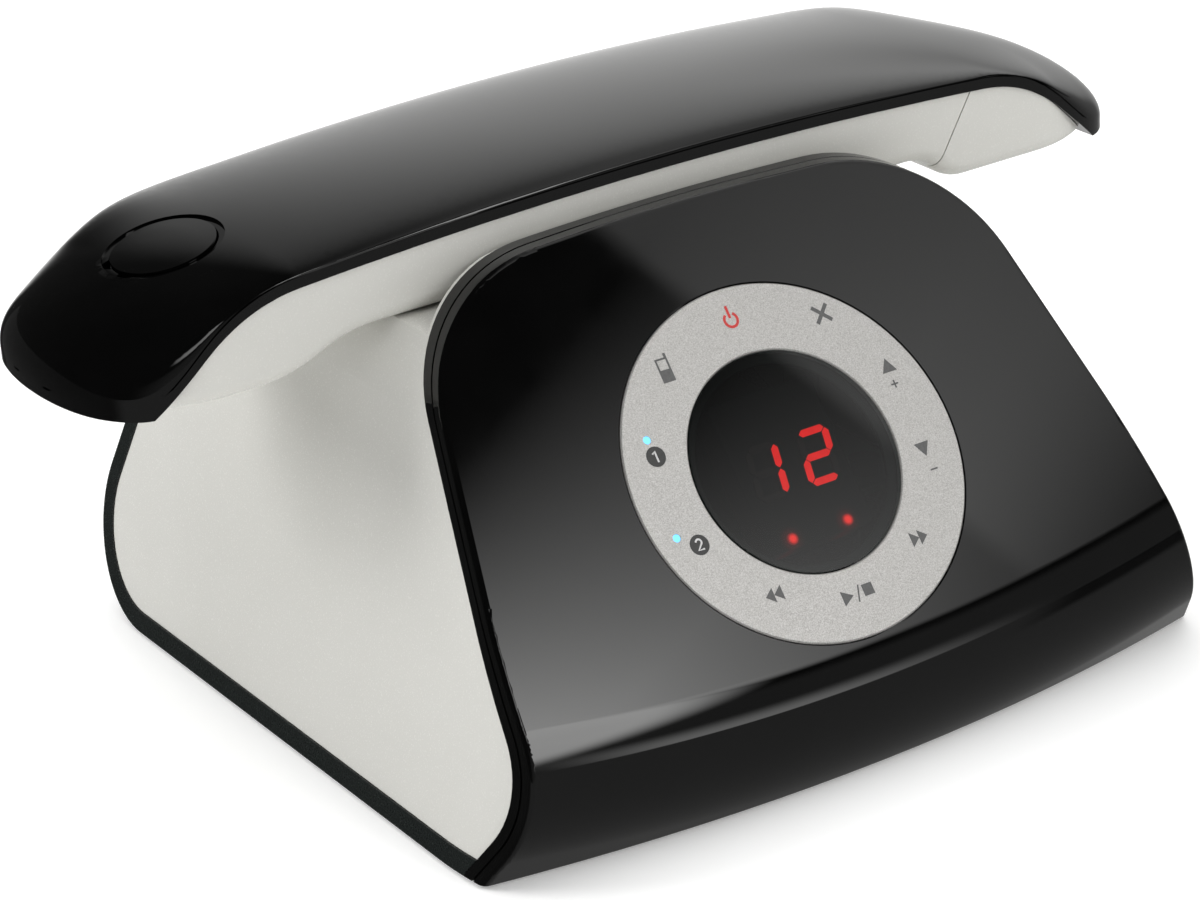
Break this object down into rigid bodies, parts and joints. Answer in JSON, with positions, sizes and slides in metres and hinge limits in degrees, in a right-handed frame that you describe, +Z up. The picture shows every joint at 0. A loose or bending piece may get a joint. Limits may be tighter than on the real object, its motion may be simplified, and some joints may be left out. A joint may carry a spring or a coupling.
{
  "type": "answering machine",
  "caption": "Cordless telephone base with built-in answering machine: sloping gloss front, touch ring round a display, and an arched handset across the cradle.",
  "frame": {"origin": "on the table under the middle of the bounding box", "axes": "+X along the handset to its battery end, -Y out of the sloping front, +Z up"},
  "size_m": [0.2224, 0.1515, 0.0999],
  "materials": {
    "black_gloss": "piano black, high gloss",
    "black_tray": "black, gloss",
    "pale_plastic": "pale warm grey, satin gloss",
    "silver_ring": "silver, fine speckle",
    "smoked_window": "dark, polished",
    "red_light": "lit red",
    "blue_light": "lit blue",
    "circuit_board": "green board",
    "dark_fitting": "black moulding",
    "plated_metal": "nickel plated",
    "screw_steel": "zinc plated",
    "foot_rubber": "matt",
    "membrane_rubber": "translucent grey",
    "cell_sleeve": "plain green sleeve",
    "key_plastic": "silver grey"
  },
  "bodies": {
    "base": {"front_cover": "black_gloss", "base_housing": "pale_plastic", "bottom_cover": "black_tray", "touch_ring": "silver_ring", "display_window": "smoked_window", "display_module": "dark_fitting", "tens_digit": "red_light", "units_digit": "red_light", "status_lights": "red_light", "cell_lights": "blue_light", "touch_board": "circuit_board", "main_board": "circuit_board", "base_speaker": "dark_fitting", "base_microphone": "dark_fitting", "aerial": "plated_metal", "line_jack": "dark_fitting", "power_jack": "dark_fitting", "contact_holder": "dark_fitting", "base_screws": "screw_steel", "rubber_feet": "foot_rubber"},
    "handset": {"handset_top_shell": "black_gloss", "handset_face": "pale_plastic", "back_switch": "circuit_board", "receiver": "dark_fitting", "handset_microphone": "dark_fitting", "charge_pads": "plated_metal", "battery_pack": "cell_sleeve", "battery_contacts": "plated_metal", "battery_tray": "dark_fitting", "handset_screws": "screw_steel", "display_lens": "smoked_window", "lcd_module": "dark_fitting", "keypad_membrane": "membrane_rubber", "handset_board": "circuit_board"},
    "battery_cover": {"battery_cover": "pale_plastic"},
    "back_key": {"back_key": "black_gloss"},
    "charge_contact_front": {"charge_contact_front": "plated_metal"},
    "charge_contact_back": {"charge_contact_back": "plated_metal"},
    "key_1": {"key_1": "key_plastic"},
    "key_2": {"key_2": "key_plastic"},
    "key_3": {"key_3": "key_plastic"},
    "key_4": {"key_4": "key_plastic"},
    "key_5": {"key_5": "key_plastic"},
    "key_6": {"key_6": "key_plastic"},
    "key_7": {"key_7": "key_plastic"},
    "key_8": {"key_8": "key_plastic"},
    "key_9": {"key_9": "key_plastic"},
    "key_star": {"key_star": "key_plastic"},
    "key_0": {"key_0": "key_plastic"},
    "key_pound": {"key_pound": "key_plastic"},
    "soft_key_left": {"soft_key_left": "key_plastic"},
    "soft_key_right": {"soft_key_right": "key_plastic"},
    "talk_key": {"talk_key": "key_plastic"},
    "off_key": {"off_key": "key_plastic"},
    "navigator_key": {"navigator_key": "key_plastic"}
  },
  "joints": [
    {"name": "handset_lift", "type": "slide", "parent": "base", "child": "handset", "axis": [0, 0, 1], "range_m": [0, 0.08]},
    {"name": "battery_cover_pull", "type": "slide", "parent": "handset", "child": "battery_cover", "axis": [0.7431, 0, -0.6691], "range_m": [0, 0.03]},
    {"name": "back_key_press", "type": "slide", "parent": "handset", "child": "back_key", "axis": [0.1788, 0, -0.9839], "range_m": [0, 0.0008], "stiffness_N_per_m": 300},
    {"name": "charge_contact_front_press", "type": "slide", "parent": "base", "child": "charge_contact_front", "axis": [0, 0, -1], "range_m": [0, 0.001], "stiffness_N_per_m": 300},
    {"name": "charge_contact_back_press", "type": "slide", "parent": "base", "child": "charge_contact_back", "axis": [0, 0, -1], "range_m": [0, 0.001], "stiffness_N_per_m": 300},
    {"name": "key_1_press", "type": "slide", "parent": "handset", "child": "key_1", "axis": [0, 0, 1], "range_m": [0, 0.0008], "stiffness_N_per_m": 300},
    {"name": "key_2_press", "type": "slide", "parent": "handset", "child": "key_2", "axis": [0, 0, 1], "range_m": [0, 0.0008], "stiffness_N_per_m": 300},
    {"name": "key_3_press", "type": "slide", "parent": "handset", "child": "key_3", "axis": [0, 0, 1], "range_m": [0, 0.0008], "stiffness_N_per_m": 300},
    {"name": "key_4_press", "type": "slide", "parent": "handset", "child": "key_4", "axis": [0, 0, 1], "range_m": [0, 0.0008], "stiffness_N_per_m": 300},
    {"name": "key_5_press", "type": "slide", "parent": "handset", "child": "key_5", "axis": [0, 0, 1], "range_m": [0, 0.0008], "stiffness_N_per_m": 300},
    {"name": "key_6_press", "type": "slide", "parent": "handset", "child": "key_6", "axis": [0, 0, 1], "range_m": [0, 0.0008], "stiffness_N_per_m": 300},
    {"name": "key_7_press", "type": "slide", "parent": "handset", "child": "key_7", "axis": [0, 0, 1], "range_m": [0, 0.0008], "stiffness_N_per_m": 300},
    {"name": "key_8_press", "type": "slide", "parent": "handset", "child": "key_8", "axis": [0, 0, 1], "range_m": [0, 0.0008], "stiffness_N_per_m": 300},
    {"name": "key_9_press", "type": "slide", "parent": "handset", "child": "key_9", "axis": [0, 0, 1], "range_m": [0, 0.0008], "stiffness_N_per_m": 300},
    {"name": "key_star_press", "type": "slide", "parent": "handset", "child": "key_star", "axis": [0, 0, 1], "range_m": [0, 0.0008], "stiffness_N_per_m": 300},
    {"name": "key_0_press", "type": "slide", "parent": "handset", "child": "key_0", "axis": [0, 0, 1], "range_m": [0, 0.0008], "stiffness_N_per_m": 300},
    {"name": "key_pound_press", "type": "slide", "parent": "handset", "child": "key_pound", "axis": [0, 0, 1], "range_m": [0, 0.0008], "stiffness_N_per_m": 300},
    {"name": "soft_key_left_press", "type": "slide", "parent": "handset", "child": "soft_key_left", "axis": [0, 0, 1], "range_m": [0, 0.0008], "stiffness_N_per_m": 300},
    {"name": "soft_key_right_press", "type": "slide", "parent": "handset", "child": "soft_key_right", "axis": [0, 0, 1], "range_m": [0, 0.0008], "stiffness_N_per_m": 300},
    {"name": "talk_key_press", "type": "slide", "parent": "handset", "child": "talk_key", "axis": [0, 0, 1], "range_m": [0, 0.0008], "stiffness_N_per_m": 300},
    {"name": "off_key_press", "type": "slide", "parent": "handset", "child": "off_key", "axis": [0, 0, 1], "range_m": [0, 0.0008], "stiffness_N_per_m": 300},
    {"name": "navigator_key_press", "type": "slide", "parent": "handset", "child": "navigator_key", "axis": [0, 0, 1], "range_m": [0, 0.0008], "stiffness_N_per_m": 300}
  ]
}
